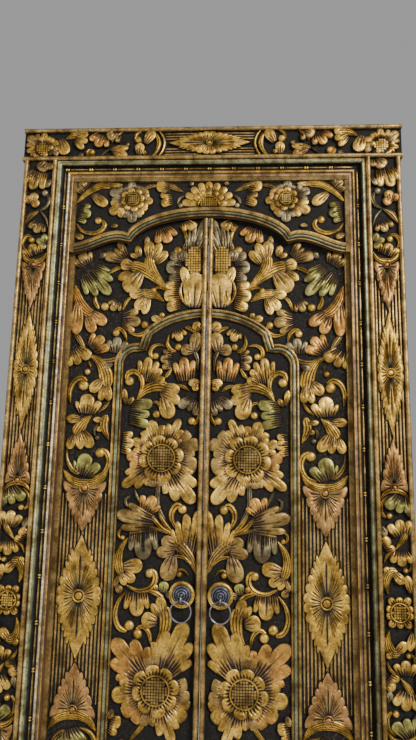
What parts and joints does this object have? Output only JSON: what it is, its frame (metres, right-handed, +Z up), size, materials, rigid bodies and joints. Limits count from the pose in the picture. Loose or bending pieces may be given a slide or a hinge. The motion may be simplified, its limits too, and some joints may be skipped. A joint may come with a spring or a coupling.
{
  "type": "carved temple door",
  "caption": "Tall double-leaf carved door in its own frame, with an arched valance, carved border boards, stepped moulding, inward-opening leaves and ring pulls.",
  "frame": {"origin": "middle of the frame's footprint, on the floor", "axes": "+Z up, front (carved side) faces -Y, +X to the right seen from the front"},
  "size_m": [0.912, 0.12, 2.2],
  "materials": {
    "gilded_carving": "worn gold and colours over black, in carved grooves",
    "painted_moulding": "green, black and gold stripes, rubbed",
    "gilded_strip": "rubbed gold over brown",
    "bare_timber": "dark stained timber",
    "pivot_iron": "dark iron",
    "socket_brass": "dull brass",
    "handle_metal": "tarnished, gold rim and grey dome",
    "ring_iron": "dark wire"
  },
  "bodies": {
    "frame": {"left_post": "bare_timber", "right_post": "bare_timber", "head_beam": "bare_timber", "sill_beam": "bare_timber", "frame_pegs": "bare_timber", "top_board": "gilded_carving", "bottom_board": "gilded_carving", "left_board": "gilded_carving", "right_board": "gilded_carving", "top_moulding": "painted_moulding", "bottom_moulding": "painted_moulding", "left_moulding": "painted_moulding", "right_moulding": "painted_moulding", "arched_valance": "gilded_carving", "left_top_socket": "socket_brass", "left_bottom_socket": "socket_brass", "right_top_socket": "socket_brass", "right_bottom_socket": "socket_brass"},
    "left_leaf": {"left_leaf": "gilded_carving", "left_meeting_strip": "gilded_strip", "left_top_pivot": "pivot_iron", "left_bottom_pivot": "pivot_iron", "left_handle_plate": "handle_metal", "left_ring_eye": "ring_iron", "left_eye_washer": "ring_iron"},
    "left_ring": {"left_pull_ring": "ring_iron"},
    "right_leaf": {"right_leaf": "gilded_carving", "right_meeting_strip": "gilded_strip", "right_top_pivot": "pivot_iron", "right_bottom_pivot": "pivot_iron", "right_handle_plate": "handle_metal", "right_ring_eye": "ring_iron", "right_eye_washer": "ring_iron"},
    "right_ring": {"right_pull_ring": "ring_iron"}
  },
  "joints": [
    {"name": "left_leaf_hinge", "type": "hinge", "parent": "frame", "child": "left_leaf", "pos_m": [-0.351, -0.003, 1.1], "axis": [0, 0, 1], "range_deg": [0, 90]},
    {"name": "left_ring_swing", "type": "hinge", "parent": "left_leaf", "child": "left_ring", "pos_m": [-0.042, -0.0405, 1.1059], "axis": [-1, 0, 0], "range_deg": [0, 110]},
    {"name": "right_leaf_hinge", "type": "hinge", "parent": "frame", "child": "right_leaf", "pos_m": [0.351, -0.003, 1.1], "axis": [0, 0, -1], "range_deg": [0, 90]},
    {"name": "right_ring_swing", "type": "hinge", "parent": "right_leaf", "child": "right_ring", "pos_m": [0.042, -0.0405, 1.1059], "axis": [-1, 0, 0], "range_deg": [0, 110]}
  ]
}
